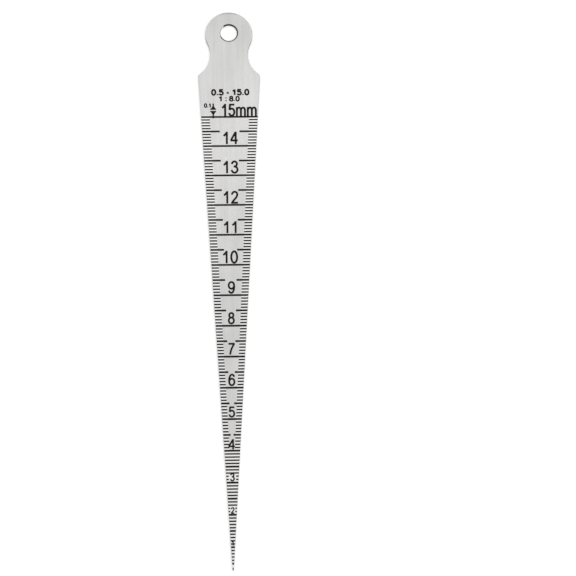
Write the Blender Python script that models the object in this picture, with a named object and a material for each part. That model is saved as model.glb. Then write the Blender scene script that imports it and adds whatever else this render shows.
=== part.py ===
# Taper gauge: one flat steel blade that narrows at a constant rate. It is pushed into a hole
# or slot until it stops, and the width there is read from the graduations across its face.
#
# Units are metres. X runs across the blade, +Y from the tip to the head, and +Z out of the
# graduated face. The blade lies on Z = 0, with the middle of its outline over the origin.

import math

import bmesh
import bpy
from mathutils import Matrix, Vector

# The sheet
THICKNESS = 0.0007

# The taper: each step in width takes the same run along the blade
RUN_PER_WIDTH = 8.0
TIP_RADIUS = 0.00015

# The graduations, named by the width of the blade where they lie
WIDEST_MARK = 0.0150
NARROWEST_MARK = 0.0005
MARK_STEP = 0.0001
MARKS_PER_WHOLE = 10
MARKS_PER_HALF = 5
LONG_MARK_WIDTH = 0.0005
SHORT_MARK_WIDTH = 0.00038
MARK_DEPTH = 0.00005

# A short or half mark starts at the blade's side, and ends where the blade's width times a
# share, less an amount, is left clear on each side of the middle
SHORT_MARK_CLEAR_SHARE = 0.415
SHORT_MARK_CLEAR_LESS = 0.00104
HALF_MARK_CLEAR_SHARE = 0.223
HALF_MARK_CLEAR_LESS = 0.00064

# Below this width every mark runs right across, apart from the few above each whole mark
# that leave room for its numeral. The lowest numeral has no room, and stands on its marks
FULL_MARKS_BELOW = 0.0040
NUMERAL_MARKS = 2
NUMERAL_CLEAR_FROM = 0.0020
NUMERAL_CLEAR_SHARE = 0.29

# The head, its hanging hole, and the neck under it
HEAD_RADIUS = 0.0063
HEAD_RISE = 0.0229
HOLE_RADIUS = 0.00245
HOLE_RISE = 0.00055
NECK_RADIUS = 0.0065
NECK_INSET = 0.0013
SHOULDER_RADIUS = 0.0009

# Arcs are drawn with a point at least this often
ARC_STEP = math.radians(5.0)
CUTTER_OVERRUN = 0.0005

# The sides of the blade meet at the scale's zero, which lies past the rounded tip.
# The outline is worked out from that point, and then moved by its middle.
SIDE_ANGLE = math.atan(0.5 / RUN_PER_WIDTH)
SIDE_DIRECTION = Vector((math.sin(SIDE_ANGLE), math.cos(SIDE_ANGLE)))
SIDE_NORMAL = Vector((math.cos(SIDE_ANGLE), -math.sin(SIDE_ANGLE)))

TIP_CENTRE = Vector((0.0, TIP_RADIUS / math.sin(SIDE_ANGLE)))
HEAD_CENTRE = Vector((0.0, RUN_PER_WIDTH * WIDEST_MARK + HEAD_RISE))
HOLE_CENTRE = HEAD_CENTRE + Vector((0.0, HOLE_RISE))

# The neck's hollow touches the head's circle, so its height follows from both radii
NECK_CENTRE_X = HEAD_RADIUS - NECK_INSET + NECK_RADIUS
NECK_DROP = math.sqrt((HEAD_RADIUS + NECK_RADIUS) ** 2 - NECK_CENTRE_X**2)
NECK_CENTRE = HEAD_CENTRE + Vector((NECK_CENTRE_X, -NECK_DROP))

LOWEST_Y = TIP_CENTRE.y - TIP_RADIUS
HIGHEST_Y = HEAD_CENTRE.y + HEAD_RADIUS
MIDDLE = Vector((0.0, (LOWEST_Y + HIGHEST_Y) / 2))


def start_scene():
    """Empties the scene and returns the part's collection and the cutters' one."""
    for old in list(bpy.data.objects):
        bpy.data.objects.remove(old)
    collections = []
    for name in ("taper_gauge", "taper_gauge_cutters"):
        collection = bpy.data.collections.new(name)
        bpy.context.scene.collection.children.link(collection)
        collections.append(collection)
    return collections


def angle_of(vector):
    return math.atan2(vector.y, vector.x)


def arc(centre, radius, start, end):
    """Points on a circle from one angle to another, both ends included."""
    count = max(2, math.ceil(abs(end - start) / ARC_STEP))
    points = []
    for step in range(count + 1):
        angle = start + (end - start) * step / count
        points.append(centre + radius * Vector((math.cos(angle), math.sin(angle))))
    return points


def shoulder_centre():
    """Centre of the small round that touches the blade's side and the neck's hollow."""
    inset_start = -SHOULDER_RADIUS * SIDE_NORMAL
    reach = NECK_RADIUS + SHOULDER_RADIUS
    to_start = inset_start - NECK_CENTRE
    along = SIDE_DIRECTION.dot(to_start)
    distance = -along - math.sqrt(along**2 - to_start.length_squared + reach**2)
    return inset_start + distance * SIDE_DIRECTION


def right_side():
    """The right half of the outline, from the end of the tip up to the top of the head."""
    shoulder = shoulder_centre()
    shoulder_end = angle_of(NECK_CENTRE - shoulder)
    neck_end = angle_of(HEAD_CENTRE - NECK_CENTRE)
    points = arc(TIP_CENTRE, TIP_RADIUS, -math.pi / 2, -SIDE_ANGLE)
    points += arc(shoulder, SHOULDER_RADIUS, -SIDE_ANGLE, shoulder_end)
    points += arc(NECK_CENTRE, NECK_RADIUS, shoulder_end + math.pi, neck_end)[1:]
    points += arc(HEAD_CENTRE, HEAD_RADIUS, neck_end - math.pi, math.pi / 2)[1:]
    return points


def blade_outline():
    right = right_side()
    left = [Vector((-point.x, point.y)) for point in reversed(right[1:-1])]
    return right + left


def hole_outline():
    return arc(HOLE_CENTRE, HOLE_RADIUS, 0.0, 2 * math.pi)[:-1]


def sheet_from_outlines(name, outlines, collection):
    """A flat sheet on Z = 0, filled between closed outlines, as a welded mesh object."""
    curve = bpy.data.curves.new(name + "_outline", "CURVE")
    curve.dimensions = "2D"
    curve.fill_mode = "BOTH"
    curve.extrude = THICKNESS / 2
    for outline in outlines:
        spline = curve.splines.new("POLY")
        spline.points.add(len(outline) - 1)
        for spline_point, point in zip(spline.points, outline):
            placed = point - MIDDLE
            spline_point.co = (placed.x, placed.y, 0.0, 1.0)
        spline.use_cyclic_u = True
    drawn = bpy.data.objects.new(name + "_outline", curve)
    drawn.location.z = THICKNESS / 2
    collection.objects.link(drawn)
    bpy.context.view_layer.update()

    graph = bpy.context.evaluated_depsgraph_get()
    mesh = bpy.data.meshes.new_from_object(drawn.evaluated_get(graph))
    work = bmesh.new()
    work.from_mesh(mesh)
    bmesh.ops.remove_doubles(work, verts=work.verts, dist=1e-6)
    work.to_mesh(mesh)
    work.free()

    sheet = bpy.data.objects.new(name, mesh)
    sheet.matrix_world = drawn.matrix_world
    collection.objects.link(sheet)
    bpy.data.objects.remove(drawn)
    return sheet


def mark_height(width):
    """Where a graduation lies along the blade, in the part's frame."""
    return RUN_PER_WIDTH * width - MIDDLE.y


def mark_stretches(number):
    """The stretches across the blade that a mark covers, as pairs of X values."""
    width = number * MARK_STEP
    side = width / 2 + CUTTER_OVERRUN
    above_whole = number % MARKS_PER_WHOLE
    if above_whole == 0:
        return [(-side, side)]
    if width < FULL_MARKS_BELOW:
        if above_whole > NUMERAL_MARKS or width < NUMERAL_CLEAR_FROM:
            return [(-side, side)]
        clear = width * NUMERAL_CLEAR_SHARE
    elif number % MARKS_PER_HALF == 0:
        clear = width * HALF_MARK_CLEAR_SHARE - HALF_MARK_CLEAR_LESS
    else:
        clear = width * SHORT_MARK_CLEAR_SHARE - SHORT_MARK_CLEAR_LESS
    return [(-side, -clear), (clear, side)]


def mark_thickness(number):
    """Whole and half marks are thicker than the short ones between them."""
    return SHORT_MARK_WIDTH if number % MARKS_PER_HALF else LONG_MARK_WIDTH


def add_box(work, low, high):
    """A box between two corners."""
    centre = (low + high) / 2
    size = high - low
    matrix = Matrix.Translation(centre) @ Matrix.Diagonal(size.to_4d())
    bmesh.ops.create_cube(work, size=1.0, matrix=matrix)


def marks_cutter(collection):
    """All the graduations in one cutter: a row of thin boxes sunk into the face."""
    work = bmesh.new()
    first = round(NARROWEST_MARK / MARK_STEP)
    last = round(WIDEST_MARK / MARK_STEP)
    for number in range(first, last + 1):
        height = mark_height(number * MARK_STEP)
        half = mark_thickness(number) / 2
        for left, right in mark_stretches(number):
            low = Vector((left, height - half, THICKNESS - MARK_DEPTH))
            high = Vector((right, height + half, THICKNESS + CUTTER_OVERRUN))
            add_box(work, low, high)
    mesh = bpy.data.meshes.new("graduation_cutter")
    work.to_mesh(mesh)
    work.free()
    cutter = bpy.data.objects.new("graduation_cutter", mesh)
    cutter.hide_render = True
    cutter.display_type = "WIRE"
    collection.objects.link(cutter)
    return cutter


def steel():
    material = bpy.data.materials.new("satin_steel")
    material.use_nodes = True
    shader = material.node_tree.nodes["Principled BSDF"]
    shader.inputs["Base Color"].default_value = (0.62, 0.62, 0.61, 1.0)
    shader.inputs["Metallic"].default_value = 1.0
    shader.inputs["Roughness"].default_value = 0.38
    return material


def build():
    parts, cutters = start_scene()
    blade = sheet_from_outlines("gauge_blade", [blade_outline(), hole_outline()], parts)
    blade.data.materials.append(steel())
    blade.data.shade_smooth()
    blade.data.set_sharp_from_angle(angle=math.radians(30))
    cut = blade.modifiers.new("graduations", "BOOLEAN")
    cut.operation = "DIFFERENCE"
    cut.solver = "EXACT"
    cut.object = marks_cutter(cutters)


build()
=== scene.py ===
import math

import bmesh
import bpy
from mathutils import Matrix, Vector
from mathutils.geometry import interpolate_bezier


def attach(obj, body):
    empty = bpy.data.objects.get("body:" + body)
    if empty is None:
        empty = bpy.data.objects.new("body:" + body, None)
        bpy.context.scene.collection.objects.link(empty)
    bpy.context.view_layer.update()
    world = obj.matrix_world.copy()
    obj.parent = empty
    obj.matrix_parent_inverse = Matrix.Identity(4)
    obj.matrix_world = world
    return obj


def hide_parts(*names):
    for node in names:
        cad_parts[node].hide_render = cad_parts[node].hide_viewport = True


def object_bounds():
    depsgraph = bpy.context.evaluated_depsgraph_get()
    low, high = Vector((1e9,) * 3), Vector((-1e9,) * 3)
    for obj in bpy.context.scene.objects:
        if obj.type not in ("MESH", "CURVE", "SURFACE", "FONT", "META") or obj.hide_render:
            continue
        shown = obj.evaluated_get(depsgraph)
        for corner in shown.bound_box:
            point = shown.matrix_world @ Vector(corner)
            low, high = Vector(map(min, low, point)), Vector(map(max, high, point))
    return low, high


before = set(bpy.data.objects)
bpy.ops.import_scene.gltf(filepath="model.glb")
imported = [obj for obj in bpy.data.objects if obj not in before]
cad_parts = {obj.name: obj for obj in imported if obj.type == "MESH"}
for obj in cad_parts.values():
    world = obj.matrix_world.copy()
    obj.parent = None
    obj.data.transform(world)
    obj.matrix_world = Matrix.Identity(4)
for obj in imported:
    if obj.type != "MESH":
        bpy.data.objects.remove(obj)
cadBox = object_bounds()
scene = bpy.context.scene
mm = 0.001
weldGap = 1e-6      # metres, under which two points become one
speck = 1e-7        # and under which an edge is nothing
print("frame loaded")


# The camera looks down on the face from nearer the tip, with the blade left of the middle
view = {
    "place": (5.51, -66.47, 346.77),
    "target": (14.78, -2.01, 0.70),
    "roll": -0.926,         # degrees
    "lens": 85.0,           # chosen to go with the blade's taper
    "sensor": 36.0,
    "clipStart": 10.0,
    "clipEnd": 10000.0,
}


def addCamera():
    data = bpy.data.cameras.new("camera")
    data.lens = view["lens"]
    data.sensor_width = view["sensor"]
    data.clip_start = view["clipStart"] * mm
    data.clip_end = view["clipEnd"] * mm
    place = Vector(view["place"]) * mm
    back = (place - Vector(view["target"]) * mm).normalized()
    right = Vector((0, 1, 0)).cross(back).normalized()
    turned = Matrix((right, back.cross(right), back)).transposed()
    turned = turned @ Matrix.Rotation(math.radians(view["roll"]), 3, "Z")
    camera = bpy.data.objects.new("camera", data)
    camera.matrix_world = Matrix.Translation(place) @ turned.to_4x4()
    scene.collection.objects.link(camera)
    scene.camera = camera


addCamera()
print("camera placed")


# The blade. Its sides meet at the scale's zero, past the tip, and rises are measured from there
blade = {
    "runPerWidth": 8.0,     # length along the blade for each mm of width
    "widestMark": 15.0,
    "tipRadius": 0.15,
    "shoulderRadius": 0.9,
    "neckRadius": 6.5,
    "neckInset": 1.3,       # of the neck's narrowest place, in from the head's side
    "headRadius": 6.3,
    "headRise": 22.9,       # from the widest mark to the head's centre
    "holeRadius": 2.19,     # at its throat, narrower than the solid's, to show its wall with its painted shade
    "holeRise": 0.55,       # from the head's centre to the hole's
    "edgeRound": 0.07,
    "holeRound": 0.32,
    "paintedGlintSide": 165.0,    # degrees, the side where the hole's painted shade is left off for a painted highlight
    "paintedGlintFrom": (0.71, 0.87),     # how far it reaches, as cosines from there
    "roundSteps": 3,
    "arcStep": 4.0,         # degrees
    "holeSteps": 72,
    "overrun": 0.5,         # how far the cutters reach past the steel
    "capFrom": 0.9,         # the bare sheet's two flats are the faces whose normal's z is over this
    "flatFrom": 0.999,      # and faces over this are shaded flat
    "creaseFrom": 40.0,     # degrees between two faces, from which the edge is sharp
    "wallFrom": 0.01,       # a face in the hole is its wall when it is over this far from level
}

thickness = cadBox[1].z
sideAngle = math.atan(0.5 / blade["runPerWidth"])    # each side has half of the width
tipRise = blade["tipRadius"] / math.sin(sideAngle)
widestRise = blade["runPerWidth"] * blade["widestMark"]
headRise = widestRise + blade["headRise"]
zeroY = cadBox[0].y / mm + blade["tipRadius"] - tipRise


def spot(across, rise, z=0.0):    # a place in the frame, from millimetres
    return Vector((across, zeroY + rise, z)) * mm


def headingOf(vector):
    return math.atan2(vector.y, vector.x)


def lineOn(bm, vert, place):    # draws on from a vertex, straight
    made = bmesh.ops.extrude_vert_indiv(bm, verts=[vert])["verts"][0]
    made.co = place
    return made


def arcOn(bm, vert, centre, turn):    # draws on from a vertex, round a centre
    steps = max(2, math.ceil(abs(turn) / math.radians(blade["arcStep"])))
    made = bmesh.ops.spin(bm, geom=[vert], cent=centre, axis=(0, 0, 1), angle=turn, steps=steps)
    return made["geom_last"][0]


def shoulderCentre(neck):    # of the small round that touches the side and the neck's hollow
    along = Vector((math.sin(sideAngle), math.cos(sideAngle)))
    start = Vector((-math.cos(sideAngle), math.sin(sideAngle))) * blade["shoulderRadius"]
    gap = start - neck
    reach = blade["neckRadius"] + blade["shoulderRadius"]
    run = -along.dot(gap) - math.sqrt(along.dot(gap) ** 2 - gap.length_squared + reach**2)
    return start + along * run


def drawOutline(bm):
    head = Vector((0, headRise))
    neckX = blade["headRadius"] - blade["neckInset"] + blade["neckRadius"]
    neckDrop = math.sqrt((blade["headRadius"] + blade["neckRadius"]) ** 2 - neckX**2)
    neck = head + Vector((neckX, -neckDrop))
    shoulder = shoulderCentre(neck)
    shoulderEnd = headingOf(neck - shoulder)
    neckEnd = headingOf(head - neck)
    outward = Vector((math.cos(sideAngle), -math.sin(sideAngle)))

    vert = bm.verts.new(spot(0, tipRise - blade["tipRadius"]))
    vert = arcOn(bm, vert, spot(0, tipRise), math.pi / 2 - sideAngle)
    vert = lineOn(bm, vert, spot(*(shoulder + outward * blade["shoulderRadius"])))
    vert = arcOn(bm, vert, spot(*shoulder), shoulderEnd + sideAngle)
    vert = arcOn(bm, vert, spot(*neck), neckEnd - shoulderEnd - math.pi)
    arcOn(bm, vert, spot(*head), math.pi * 1.5 - neckEnd)
    half = bm.verts[:] + bm.edges[:]
    bmesh.ops.mirror(bm, geom=half, matrix=Matrix.Identity(4), merge_dist=weldGap, axis="X")


def meshObject(name, bm):
    mesh = bpy.data.meshes.new(name)
    bm.to_mesh(mesh)
    bm.free()
    made = bpy.data.objects.new(name, mesh)
    scene.collection.objects.link(made)
    return made


def makeSheet():    # the bare sheet with its edges eased, before anything is cut in it
    bm = bmesh.new()
    drawOutline(bm)
    face = bmesh.ops.contextual_create(bm, geom=bm.edges[:])["faces"][0]
    raised = bmesh.ops.extrude_face_region(bm, geom=[face], use_keep_orig=True)["geom"]
    upper = [item for item in raised if isinstance(item, bmesh.types.BMVert)]
    bmesh.ops.translate(bm, verts=upper, vec=(0, 0, thickness))
    bmesh.ops.recalc_face_normals(bm, faces=bm.faces[:])
    caps = [face for face in bm.faces if abs(face.normal.z) > blade["capFrom"]]
    rims = [edge for cap in caps for edge in cap.edges]
    bmesh.ops.bevel(
        bm, geom=rims, offset=blade["edgeRound"] * mm, offset_type="OFFSET", affect="EDGES",
        segments=blade["roundSteps"], profile=0.5, material=-1, clamp_overlap=False,
    )
    return meshObject("bare_sheet", bm)


def makeHoleCutter():    # a turned plug that flares at both faces, so the hole's rims are eased
    radius, rounding = blade["holeRadius"] * mm, blade["holeRound"] * mm
    wall = thickness / 2 - rounding
    top = thickness / 2 + blade["overrun"] * mm
    bm = bmesh.new()
    vert = lineOn(bm, bm.verts.new((radius, 0, 0)), (radius, 0, wall))
    centre = (radius + rounding, 0, wall)
    flare = bmesh.ops.spin(
        bm, geom=[vert], cent=centre, axis=(0, 1, 0), angle=math.pi / 2, steps=blade["roundSteps"]
    )
    vert = lineOn(bm, flare["geom_last"][0], (radius + rounding, 0, top))
    lineOn(bm, vert, (0, 0, top))
    half = bm.verts[:] + bm.edges[:]
    bmesh.ops.mirror(bm, geom=half, matrix=Matrix.Identity(4), merge_dist=weldGap, axis="Z")
    bmesh.ops.spin(
        bm, geom=bm.verts[:] + bm.edges[:], cent=(0, 0, 0), axis=(0, 0, 1), angle=2 * math.pi,
        steps=blade["holeSteps"], use_merge=True,
    )
    bmesh.ops.remove_doubles(bm, verts=bm.verts[:], dist=speck)
    bmesh.ops.recalc_face_normals(bm, faces=bm.faces[:])
    place = spot(0, headRise + blade["holeRise"]) + Vector((0, 0, thickness / 2))
    bmesh.ops.translate(bm, verts=bm.verts[:], vec=place)
    return meshObject("hole_cutter", bm)


# The graduations, numbered in tenths of a millimetre of the blade's width
marks = {
    "first": 5,
    "last": 150,
    "perWidth": 10,         # lines for each millimetre of width
    "perHalf": 5,           # and for each half
    "longLine": 0.50,       # thickness of each whole and half line
    "shortLine": 0.38,
    "depth": 0.05,
    "shortClear": (0.415, 1.04),    # share of the width, less mm, clear each side of the middle
    "halfClear": (0.223, 0.64),
    "fullBelow": 40,                # narrower than this, each line runs right across
    "besideNumeral": 2,             # apart from this many above a whole line with a numeral
    "besideFrom": 20,               # though narrower than this, those run right across too
    "numeralClear": 0.29,
    "inkGap": 0.008,                # the ink's top lies this far under the face
}


def addBox(bm, low, high):
    middle, size = (low + high) / 2, high - low
    placed = Matrix.Translation(middle) @ Matrix.Diagonal(size.to_4d())
    bmesh.ops.create_cube(bm, size=1.0, matrix=placed)


def lineStretches(number):    # how far across the blade a line runs, as pairs of millimetres
    width = number / marks["perWidth"]
    side = width / 2 + blade["overrun"]
    above = number % marks["perWidth"]
    if above == 0:
        return [(-side, side)]
    if number < marks["fullBelow"]:
        if above > marks["besideNumeral"] or number < marks["besideFrom"]:
            return [(-side, side)]
        clear = width * marks["numeralClear"]
    else:
        share, less = marks["shortClear" if number % marks["perHalf"] else "halfClear"]
        clear = width * share - less
    return [(-side, -clear), (clear, side)]


def addLines(bm, low, high):
    for number in range(marks["first"], marks["last"] + 1):
        half = marks["shortLine" if number % marks["perHalf"] else "longLine"] / 2
        rise = blade["runPerWidth"] * number / marks["perWidth"]
        for left, right in lineStretches(number):
            addBox(bm, spot(left, rise - half, low), spot(right, rise + half, high))


# The mark that shows one step of the scale: an arrow up from a bar, and one down to the 15 line.
# Rises are from that line
stepMark = {
    "across": -4.28,
    "bar": (1.60, 0.35),            # its length and thickness
    "bars": (2.15, 1.51),           # the rises of the two
    "arrow": (1.42, 1.16),          # its breadth and height
    "stem": 0.40,
    "stemEnds": (3.73, -0.38),      # and those of their stems' far ends
}


def addStepMark(bm, low, high):
    line = widestRise
    across = stepMark["across"]
    length, thick = stepMark["bar"]
    breadth, tall = stepMark["arrow"]
    for bar, end in zip(stepMark["bars"], stepMark["stemEnds"]):
        left, right = across - length / 2, across + length / 2
        addBox(bm, spot(left, line + bar - thick / 2, low), spot(right, line + bar + thick / 2, high))
        left, right = across - stepMark["stem"] / 2, across + stepMark["stem"] / 2
        lower, upper = sorted((bar, end))
        addBox(bm, spot(left, line + lower, low), spot(right, line + upper, high))
        tip = math.copysign(tall, end - bar)
        middle = spot(across, line + bar + tip / 3, (low + high) / 2)
        # a prism of three sides has its radius from the middle to the point, and 1.5 of it in all
        size = Vector((breadth / math.sqrt(3), tip / 1.5, high - low)) * mm
        placed = Matrix.Translation(middle) @ Matrix.Diagonal(size.to_4d())
        bmesh.ops.create_cone(
            bm, cap_ends=True, segments=3, radius1=1.0, radius2=1.0, depth=1.0, matrix=placed
        )


# The lettering is drawn with one pen. A glyph is a list of strokes, and a stroke a list of
# points in thousandths of a numeral's height: across, up, and the heading there in degrees,
# or None where it runs straight. A stroke that ends where it starts is a ring
glyphs = {
    "0": [[(388, 949, 0), (659, 493, -90), (388, 38, 180), (116, 493, 90), (388, 949, 0)]],
    "1": [[(459, 0, None), (459, 1000, None)], [(140, 668, 22), (452, 950, 62)]],
    "2": [[(137, 705, 88), (388, 947, 0), (641, 716, -90), (420, 368, -137), (122, 62, -128)],
          [(50, 59, None), (703, 59, None)]],
    "3": [[(132, 738, 80), (370, 948, 0), (602, 745, -90), (365, 546, 180), (290, 546, 180)],
          [(330, 546, 0), (657, 292, -90), (372, 40, 180), (117, 268, 97)]],
    "4": [[(513, 0, None), (513, 1000, None)], [(18, 296, None), (709, 296, None)],
          [(66, 316, None), (500, 952, None)]],
    "5": [[(676, 928, None), (206, 928, None), (146, 500, None)],
          [(146, 500, 45), (382, 612, 0), (660, 322, -90), (370, 40, 180), (117, 262, 97)]],
    "6": [[(636, 752, 100), (402, 949, 180), (118, 440, -90), (126, 300, -88)],
          [(392, 603, 0), (659, 322, -90), (392, 40, 180), (126, 322, 90), (392, 603, 0)]],
    "7": [[(66, 928, None), (700, 928, None)], [(640, 915, -128), (345, 420, -113), (238, 0, -94)]],
    "8": [[(388, 948, 0), (612, 748, -90), (388, 548, 180), (165, 748, 90), (388, 948, 0)],
          [(388, 548, 0), (660, 292, -90), (388, 38, 180), (116, 292, 90), (388, 548, 0)]],
    "9": [[(141, 235, -80), (375, 38, 0), (659, 547, 90), (651, 687, 92)],
          [(385, 384, 180), (118, 665, 90), (385, 947, 0), (651, 665, -90), (385, 384, 180)]],
    "m": [[(153, 0, None), (153, 724, None)],
          [(153, 430, 90), (385, 683, 0), (583, 470, -90), (583, 0, -90)],
          [(583, 430, 90), (815, 683, 0), (1013, 470, -90), (1013, 0, -90)]],
    ".": [[(194, 0, None), (194, 190, None)]],
    ":": [[(194, 0, None), (194, 190, None)], [(194, 560, None), (194, 750, None)]],
    "-": [[(60, 380, None), (405, 380, None)]],
    " ": [],
}
advances = {"m": 1164, ".": 388, ":": 388, "-": 466, " ": 388}
numeralAdvance = 777
glyphUnit = 1000
curves = {
    "points": 9,        # along each bend of a stroke
    "handle": 0.56,     # share of the way to where its two headings cross
    "crossing": 0.1,    # the least turn, as a sine, for which they cross near enough
    "evenHandle": 3,    # for less, both handles are the distance between its ends over this
    "ringGap": 1,       # a stroke whose ends are nearer than this is a ring
}


def strokePoints(stroke):
    points = [Vector((across, up, 0)) for across, up, heading in stroke]
    drawn = [points[0]]
    for index in range(len(stroke) - 1):
        start, end = points[index], points[index + 1]
        first, last = stroke[index][2], stroke[index + 1][2]
        if first is None or last is None:
            drawn.append(end)
            continue
        leave = Vector((math.cos(math.radians(first)), math.sin(math.radians(first)), 0))
        arrive = Vector((math.cos(math.radians(last)), math.sin(math.radians(last)), 0))
        turn = leave.cross(arrive).z
        near = far = (end - start).length / curves["evenHandle"]
        if abs(turn) > curves["crossing"]:
            near = (end - start).cross(arrive).z / turn * curves["handle"]
            far = leave.cross(end - start).z / turn * curves["handle"]
        handles = start + leave * near, end - arrive * far
        drawn += interpolate_bezier(start, *handles, end, curves["points"])[1:]
    return drawn


def drawText(text, left, base, height, narrow, pen, low, high):
    # Each stroke is a wall along its line, which Solidify makes as thick as the pen
    bm = bmesh.new()
    across = 0
    for letter in text:
        for stroke in glyphs[letter]:
            line = strokePoints(stroke)
            ring = (line[0] - line[-1]).length < curves["ringGap"]
            places = [
                Vector((left + (point.x + across) / glyphUnit * height * narrow,
                        base + point.y / glyphUnit * height, low)) for point in line
            ]
            verts = [bm.verts.new(place * mm) for place in (places[:-1] if ring else places)]
            ends = zip(verts, verts[1:] + verts[:1]) if ring else zip(verts, verts[1:])
            edges = [bm.edges.new(pair) for pair in ends]
            risen = bmesh.ops.extrude_edge_only(bm, edges=edges)["geom"]
            upper = [item for item in risen if isinstance(item, bmesh.types.BMVert)]
            bmesh.ops.translate(bm, verts=upper, vec=(0, 0, (high - low) * mm))
        across += advances.get(letter, numeralAdvance)
    wall = meshObject("pen_strokes", bm)
    thick = wall.modifiers.new("pen", "SOLIDIFY")
    thick.thickness = pen * mm
    thick.offset = 0.0
    thick.use_even_offset = True
    return wall


def finishedMesh(made):    # the object's mesh with its modifiers applied; the object goes
    graph = bpy.context.evaluated_depsgraph_get()
    mesh = bpy.data.meshes.new_from_object(made.evaluated_get(graph))
    bpy.data.objects.remove(made)
    return mesh


# Each numeral stands above its whole line: its height, how narrow it is, where its middle lies,
# and its lift over the line
numerals = {
    14: (3.42, 0.82, -0.02, 0.50), 13: (3.39, 0.83, -0.03, 0.56), 12: (3.35, 0.82, -0.01, 0.38),
    11: (3.20, 0.86, -0.03, 0.42), 10: (3.32, 0.84, -0.32, 0.42), 9: (3.14, 0.83, 0.15, 0.48),
    8: (3.00, 0.81, 0.05, 0.49), 7: (3.01, 0.85, 0.08, 0.53), 6: (3.00, 0.83, 0.04, 0.52),
    5: (2.70, 0.85, -0.02, 0.50), 4: (2.58, 0.92, -0.06, 0.34), 3: (1.98, 0.83, -0.01, 0.39),
    2: (1.49, 0.86, -0.01, 0.34), 1: (1.40, 0.79, -0.04, 0.36),
}
lettering = {
    "pen": (0.115, 0.15),    # share of a numeral's height, and mm on top of that
    "tensStart": -2.00,      # left end of a numeral of two digits, if its middle lies at 0
}
# The rest of the lettering: its left end, its rise over the 15 line, height, narrowness and pen
captions = {
    "15mm": (-2.27, 0.19, 3.43, 0.725, 0.55),
    "0.1": (-6.71, 2.63, 1.10, 0.92, 0.33),
    "0.5 - 15.0": (-4.80, 6.05, 1.56, 1.10, 0.48),
    "1 : 8.0": (-2.85, 4.36, 1.35, 1.07, 0.42),
}


def drawLettering(low, high):
    walls = []
    share, extra = lettering["pen"]
    for number, (height, narrow, middle, lift) in numerals.items():
        wide = numeralAdvance / glyphUnit * height * narrow
        left = middle + (lettering["tensStart"] if number > 9 else -wide / 2)
        base = zeroY + blade["runPerWidth"] * number + lift
        pen = height * share + extra
        walls.append(drawText(str(number), left, base, height, narrow, pen, low, high))
    line = zeroY + widestRise
    for text, (left, rise, height, narrow, pen) in captions.items():
        walls.append(drawText(text, left, line + rise, height, narrow, pen, low, high))
    return walls


def makeScale(name, low, high):    # every line, numeral and mark of the scale, as one body
    bm = bmesh.new()
    addLines(bm, low, high)
    addStepMark(bm, low, high)
    for wall in drawLettering(low, high):
        bm.from_mesh(finishedMesh(wall))
    bmesh.ops.recalc_face_normals(bm, faces=bm.faces[:])
    return meshObject(name, bm)


def boolean(made, operation, other):
    modifier = made.modifiers.new(operation.lower(), "BOOLEAN")
    modifier.operation = operation
    modifier.solver = "EXACT"
    modifier.use_self = True
    modifier.object = other


def cleaned(mesh):    # flat on the flats, smooth round the eased edges, with no slivers
    bm = bmesh.new()
    bm.from_mesh(mesh)
    bmesh.ops.dissolve_degenerate(bm, dist=speck, edges=bm.edges[:])
    for face in bm.faces:
        face.smooth = abs(face.normal.z) < blade["flatFrom"]
    for edge in bm.edges:
        edge.smooth = edge.calc_face_angle(math.pi) < math.radians(blade["creaseFrom"])
    bm.to_mesh(mesh)
    bm.free()
    return mesh


def makeBlade():
    face = thickness / mm
    sheet = makeSheet()
    hole = makeHoleCutter()
    grooves = makeScale("scale_cutter", face - marks["depth"], face + blade["overrun"])
    fill = makeScale("scale_fill", face - marks["depth"], face - marks["inkGap"])
    boolean(fill, "INTERSECT", sheet)
    ink = bpy.data.objects.new("scale_ink", cleaned(finishedMesh(fill)))
    print("ink filled,", len(ink.data.polygons), "faces")
    boolean(sheet, "DIFFERENCE", hole)
    boolean(sheet, "DIFFERENCE", grooves)
    steel = bpy.data.objects.new("steel_blade", cleaned(finishedMesh(sheet)))
    print("blade cut,", len(steel.data.polygons), "faces")
    for cutter in (hole, grooves):
        bpy.data.objects.remove(cutter)

    wall = steel.data.attributes.new("wall", "FLOAT", "FACE")    # 0 on the flats, 1 on the cut edge, 0 where the hole has its painted highlight
    boreShade = steel.data.attributes.new("boreShade", "FLOAT", "FACE")    # 1 in the hanging hole, where its near-black painted shade goes
    middle = spot(0, headRise + blade["holeRise"])
    reach = (blade["holeRadius"] + blade["holeRound"]) * mm
    # on one side of the hole the dark colours are left off, so the face colour shows there as a painted
    # highlight
    glintHeading = Matrix.Rotation(math.radians(blade["paintedGlintSide"]), 2) @ Vector((1, 0))
    none, full = blade["paintedGlintFrom"]
    for face in steel.data.polygons:
        steep = 1 - abs(face.normal.z)
        out = (face.center - middle).xy
        inHole = steep > blade["wallFrom"] and out.length < reach
        bright = (out.normalized().dot(glintHeading) - none) / (full - none) if inHole else 0
        kept = 1 - min(1, max(0, bright))
        wall.data[face.index].value = steep * kept
        boreShade.data[face.index].value = inHole * kept
    for made in (steel, ink):
        made.data.materials.clear()
        scene.collection.objects.link(made)
        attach(made, "root")
    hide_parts("gauge_blade")
    return steel, ink


steel, ink = makeBlade()


# A socket of a node, on which shader maths is written as plain Python
class Wire:
    def __init__(self, tree, socket):
        self.tree = tree
        self.socket = socket

    def math(self, operation, first, second):
        return self.tree.node("Math", {"operation": operation}, {0: first, 1: second})

    def larger(self, other):
        return self.math("MAXIMUM", self, other)

    def __abs__(self):
        return self.math("ABSOLUTE", self, 0.0)

    def __add__(self, other):
        return self.math("ADD", self, other)

    def __sub__(self, other):
        return self.math("SUBTRACT", self, other)

    def __rsub__(self, other):
        return self.math("SUBTRACT", other, self)

    def __mul__(self, other):
        return self.math("MULTIPLY", self, other)

    __radd__ = __add__
    __rmul__ = __mul__


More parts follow.
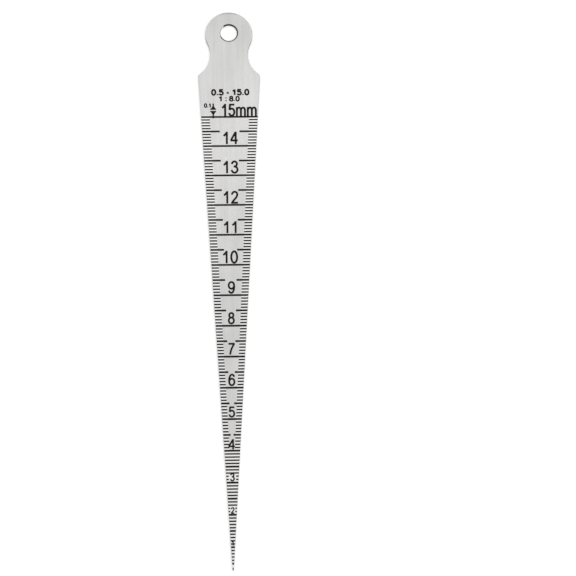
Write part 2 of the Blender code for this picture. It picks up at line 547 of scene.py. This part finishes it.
# The node tree of a material or of the world
class Tree:
    def __init__(self, owner):
        owner.use_nodes = True
        self.nodes = owner.node_tree.nodes
        self.links = owner.node_tree.links
        self.coordinates = None

    def node(self, kind, settings, sockets, output=0):
        made = self.nodes.new("ShaderNode" + kind)
        for name, value in settings.items():
            setattr(made, name, value)
        for name, value in sockets.items():
            self.feed(made.inputs[name], value)
        return Wire(self, made.outputs[output])

    def feed(self, socket, value):
        if isinstance(value, Wire):
            self.links.new(value.socket, socket)
        else:
            socket.default_value = value

    def blend(self, share, first, second):    # from one colour to another
        return self.node("Mix", {"data_type": "RGBA"}, {0: share, 6: first, 7: second}, output=2)

    def place(self):    # where a point lies in the frame
        if self.coordinates is None:
            self.coordinates = self.node("TexCoord", {}, {}, output="Object")
        return self.coordinates

    def part(self, vector, axis):
        return self.node("SeparateXYZ", {}, {0: vector}, output=axis)

    def grain(self, across, along, shift=0.0, turn=0.0, detail=2.0):    # noise, with its size in mm
        turned = self.node(
            "VectorRotate", {"rotation_type": "Z_AXIS"}, {"Vector": self.place(), "Angle": turn}
        )
        scale = (1 / (across * mm), 1 / (along * mm), 1 / (across * mm))
        drawn = self.node("Mapping", {}, {"Vector": turned, "Location": (shift, 0, 0), "Scale": scale})
        return self.node("TexNoise", {}, {"Vector": drawn, "Scale": 1.0, "Detail": detail}, output=0)

    def step(self, value, low, high):    # 0 below low and 1 above high, with a soft change between
        return self.node(
            "MapRange", {"interpolation_type": "SMOOTHSTEP"},
            {"Value": value, "From Min": low, "From Max": high},
        )


def newMaterial(piece):
    material = bpy.data.materials.new(piece.name)
    piece.data.materials.append(material)
    tree = Tree(material)
    return tree, tree.nodes["Principled BSDF"].inputs


satin = {
    "pale": (0.697, 0.693, 0.688, 1),
    "dull": (0.530, 0.527, 0.524, 1),
    "cutEdge": (0.10, 0.10, 0.102, 1),
    # near-black painted shade in the hanging hole
    "boreShade": (0.035, 0.034, 0.034, 1),
    "edgeFull": 0.5,                # how steep a face is where the cut edge's colour is full
    "frontRise": (0.5, 0.9),        # share of the thickness, over which the face's marks set in
    "ground": (0.83, 0.826, 0.822, 1),    # the bands where the graduations are cut
    "groundShare": 0.85,
    "bandSoft": 0.15,               # mm
    "bandTop": (0.2, 0.6),          # mm over the 15 line
    # painted shade at the rounded tip, full below the first rise and gone above the second
    "tip": (0.12, 0.12, 0.122, 1),
    "tipRise": (2.85, 3.10),        # mm from the scale's zero
    "headRim": (0.42, 0.42, 0.418, 1),    # painted shade lines along the head's edge
    "rimInset": (0.50, 0.28),       # mm in from the edge, where they start and where they are full
    "rimOver": (0.10, 0.40),        # mm out over it, where they fade and where they end
    # each line's heading, and how many mm short of the head's furthest point that way it
    # starts and is full
    "rimLines": ((90, 1.15, 0.15), (199, 0.36, 0.08)),
    "roughness": 0.24,
    "edgeRoughness": 0.5,
    # the size of each grain in mm across and along, and its share in the colour
    "brushing": (0.10, 6.0),
    "brushingShare": 0.5,
    "streaks": (1.1, 30.0),
    "streaksShare": 0.7,
    "streaksShift": 40.0,           # taken from further along the noise, so that no two match
    "clouds": (7.0, 11.0),
    "cloudsShare": 0.8,
    "cloudsShift": 80.0,
    "scratches": (3.5, 40.0),
    "scratchesShare": 0.35,
    "scratchRuns": ((10.0, 0.05), (25.0, -0.35)),    # each set's shift, and its turn in radians
    "scratchWidth": (0.002, 0.006),     # of the noise, from its middle value
    "scratchBreaks": (0.54, 0.60),      # of a noise that shows them only here and there
    "scratchPatch": 6.0,                # mm
    "brushingGloss": 0.12,          # the same grains' shares in the roughness
    "cloudsGloss": 0.08,
    "scratchesGloss": 0.06,
    "bumpDepth": 0.012,             # mm
    "scratchDepth": 0.5,            # share of that
}
noiseMiddle = 0.5


def scratched(tree, shift, turn):    # hairlines, where a stretched noise crosses its middle value
    noise = tree.grain(*satin["scratches"], shift=shift, turn=turn, detail=0.0)
    patches = tree.grain(satin["scratchPatch"], satin["scratchPatch"], shift=shift)
    hairlines = 1 - tree.step(abs(noise - noiseMiddle), *satin["scratchWidth"])
    return hairlines * tree.step(patches, *satin["scratchBreaks"])


def headRim(tree):    # 1 along the painted shade lines of the head's edge
    place = tree.place()
    middle = spot(0, headRise, thickness / mm)
    radius = blade["headRadius"] * mm
    away = tree.node("VectorMath", {"operation": "DISTANCE"}, {0: place, 1: middle}, output="Value")
    lines = 0
    for heading, end, full in satin["rimLines"]:
        out = Matrix.Rotation(math.radians(heading), 3, "Z") @ Vector((1, 0, 0))
        reach = tree.node("VectorMath", {"operation": "DOT_PRODUCT"}, {0: place, 1: out}, output="Value")
        furthest = middle.dot(out) + radius
        lines = lines + tree.step(reach, furthest - end * mm, furthest - full * mm)
    start, whole = satin["rimInset"]
    fading, gone = satin["rimOver"]
    ring = tree.step(away, radius - start * mm, radius - whole * mm)
    return lines * ring * (1 - tree.step(away, radius + fading * mm, radius + gone * mm))


def groundBands(tree, rise):    # both sides of the scale, and all of it where lines run right across
    across = abs(tree.part(tree.place(), "X"))
    share, less = marks["shortClear"]
    soft = satin["bandSoft"] * mm
    sides = tree.step(across - rise * (share / blade["runPerWidth"]) + less * mm, -soft, soft)
    lowest = marks["fullBelow"] / marks["perWidth"] * blade["runPerWidth"] * mm
    low = 1 - tree.step(rise, lowest - soft, lowest + soft)
    fading, gone = [(widestRise + over) * mm for over in satin["bandTop"]]
    return sides.larger(low) * (1 - tree.step(rise, fading, gone))


def finishSteel(piece):
    tree, shader = newMaterial(piece)
    brushing = tree.grain(*satin["brushing"], detail=3.0)
    streaks = tree.grain(*satin["streaks"], shift=satin["streaksShift"])
    clouds = tree.grain(*satin["clouds"], shift=satin["cloudsShift"])
    scratches = 0
    for shift, turn in satin["scratchRuns"]:
        scratches = scratches + scratched(tree, shift, turn)
    wall = tree.node("Attribute", {"attribute_name": "wall"}, {}, output="Fac")
    boreShade = tree.node("Attribute", {"attribute_name": "boreShade"}, {}, output="Fac")
    edge = tree.step(wall, 0.0, satin["edgeFull"]).larger(boreShade)

    share = noiseMiddle + (brushing - noiseMiddle) * satin["brushingShare"]
    share = share + (streaks - noiseMiddle) * satin["streaksShare"]
    share = share + (clouds - noiseMiddle) * satin["cloudsShare"]
    face = tree.blend(share + scratches * satin["scratchesShare"], satin["dull"], satin["pale"])
    front = tree.step(
        tree.part(tree.place(), "Z"), *[thickness * part for part in satin["frontRise"]]
    )
    rise = tree.part(tree.place(), "Y") - zeroY * mm
    bands = groundBands(tree, rise)
    # painted shade at the rounded tip
    tip = 1 - tree.step(rise, *[end * mm for end in satin["tipRise"]])
    face = tree.blend(front * bands * satin["groundShare"], face, satin["ground"])
    # painted shade lines along the head's edge
    face = tree.blend(front * headRim(tree), face, satin["headRim"])
    face = tree.blend(front * tip, face, satin["tip"])
    # the cut edge's own darker colour, and the hole's near-black painted shade
    cut = tree.blend(boreShade, satin["cutEdge"], satin["boreShade"])
    tree.feed(shader["Base Color"], tree.blend(edge, face, cut))

    rough = satin["roughness"] + (brushing - noiseMiddle) * satin["brushingGloss"]
    rough = rough + (clouds - noiseMiddle) * satin["cloudsGloss"]
    rough = rough - scratches * satin["scratchesGloss"]
    tree.feed(shader["Roughness"], rough + edge * (satin["edgeRoughness"] - satin["roughness"]))
    height = brushing - scratches * satin["scratchDepth"]
    bump = tree.node("Bump", {}, {"Height": height, "Distance": satin["bumpDepth"] * mm})
    tree.feed(shader["Normal"], bump)
    shader["Metallic"].default_value = 1.0


matt = {
    "deep": (0.0080, 0.0064, 0.0055, 1),
    "worn": (0.023, 0.020, 0.018, 1),
    "wornFrom": (0.35, 0.75),       # of the grain
    "grain": 0.25,                  # mm
    "roughness": 0.62,
    "roughnessShare": 0.3,          # how much of the grain goes into it
    "bumpDepth": 0.01,              # mm
    "shine": 0.08,
}


def finishInk(piece):
    tree, shader = newMaterial(piece)
    grain = tree.grain(matt["grain"], matt["grain"], detail=3.0)
    worn = tree.step(grain, *matt["wornFrom"])
    tree.feed(shader["Base Color"], tree.blend(worn, matt["deep"], matt["worn"]))
    rough = matt["roughness"] + (grain - noiseMiddle) * matt["roughnessShare"]
    tree.feed(shader["Roughness"], rough)
    bump = tree.node("Bump", {}, {"Height": grain, "Distance": matt["bumpDepth"] * mm})
    tree.feed(shader["Normal"], bump)
    shader["Specular IOR Level"].default_value = matt["shine"]


finishSteel(steel)
finishInk(ink)
print("finishes made")


# A pale floor, a white room that is less bright towards its skirting, and two soft lamps
room = {
    "floorSize": 2000.0,
    "floorDrop": 0.02,
    "floorColour": (0.92, 0.92, 0.92, 1),
    "floorRoughness": 0.9,
    "floorGlow": 0.30,      # what the floor adds to its lit colour, so only the contact shadow shows
    "skirting": 0.60,       # light from low down, as a share of that from above
    "level": 0.95,
    "fullFrom": 0.9,        # how high up, as a direction's z, the light is full
}
lamps = {
    "key": {"from": (330.0, -300.0, 400.0), "at": (0.0, 0.0, 0.0), "size": 220.0, "watts": 0.55},
    "overhead": {"from": (-9.0, 204.0, 560.0), "at": (0.0, 37.0, 0.0), "size": 90.0, "watts": 0.012},
}


def whiteRays(tree):    # 1 for the camera, and for what metal and glass show
    rays = [tree.node("LightPath", {}, {}, output=kind)
            for kind in ("Is Camera Ray", "Is Glossy Ray", "Is Transmission Ray")]
    return rays[0] + rays[1] + rays[2]


def layFloor():
    bm = bmesh.new()
    bmesh.ops.create_grid(bm, x_segments=1, y_segments=1, size=room["floorSize"] / 2 * mm)
    bmesh.ops.translate(bm, verts=bm.verts[:], vec=(0, 0, -room["floorDrop"] * mm))
    floor = meshObject("floor", bm)
    tree, shader = newMaterial(floor)
    shader["Base Color"].default_value = room["floorColour"]
    shader["Roughness"].default_value = room["floorRoughness"]
    shader["Specular IOR Level"].default_value = 0.0
    lit = Wire(tree, tree.nodes["Principled BSDF"].outputs[0])
    glow = tree.node("Emission", {}, {"Strength": whiteRays(tree) * room["floorGlow"]})
    both = tree.node("AddShader", {}, {0: lit, 1: glow})
    tree.feed(tree.nodes["Material Output"].inputs["Surface"], both)


def lightRoom():
    world = bpy.data.worlds.new("room")
    scene.world = world
    tree = Tree(world)
    direction = tree.node("TexCoord", {}, {}, output="Generated")
    up = tree.part(direction, "Z")
    glow = room["skirting"] + tree.step(up, 0.0, room["fullFrom"]) * (1 - room["skirting"])
    camera = tree.node("LightPath", {}, {}, output="Is Camera Ray")
    clear = whiteRays(tree)
    level = camera + (clear - camera) * glow + (1 - clear) * glow * room["level"]
    background = tree.nodes["Background"].inputs
    background["Color"].default_value = (1, 1, 1, 1)
    tree.feed(background["Strength"], level)


def hangLamp(name, lamp):
    data = bpy.data.lights.new(name, "AREA")
    data.size = lamp["size"] * mm
    data.energy = lamp["watts"]
    made = bpy.data.objects.new(name, data)
    place = Vector(lamp["from"]) * mm
    made.location = place
    made.rotation_euler = (Vector(lamp["at"]) * mm - place).to_track_quat("-Z", "Y").to_euler()
    scene.collection.objects.link(made)


layFloor()
lightRoom()
for name, lamp in lamps.items():
    hangLamp(name, lamp)
scene.view_settings.view_transform = "Standard"
print("floor, room and lamps set")
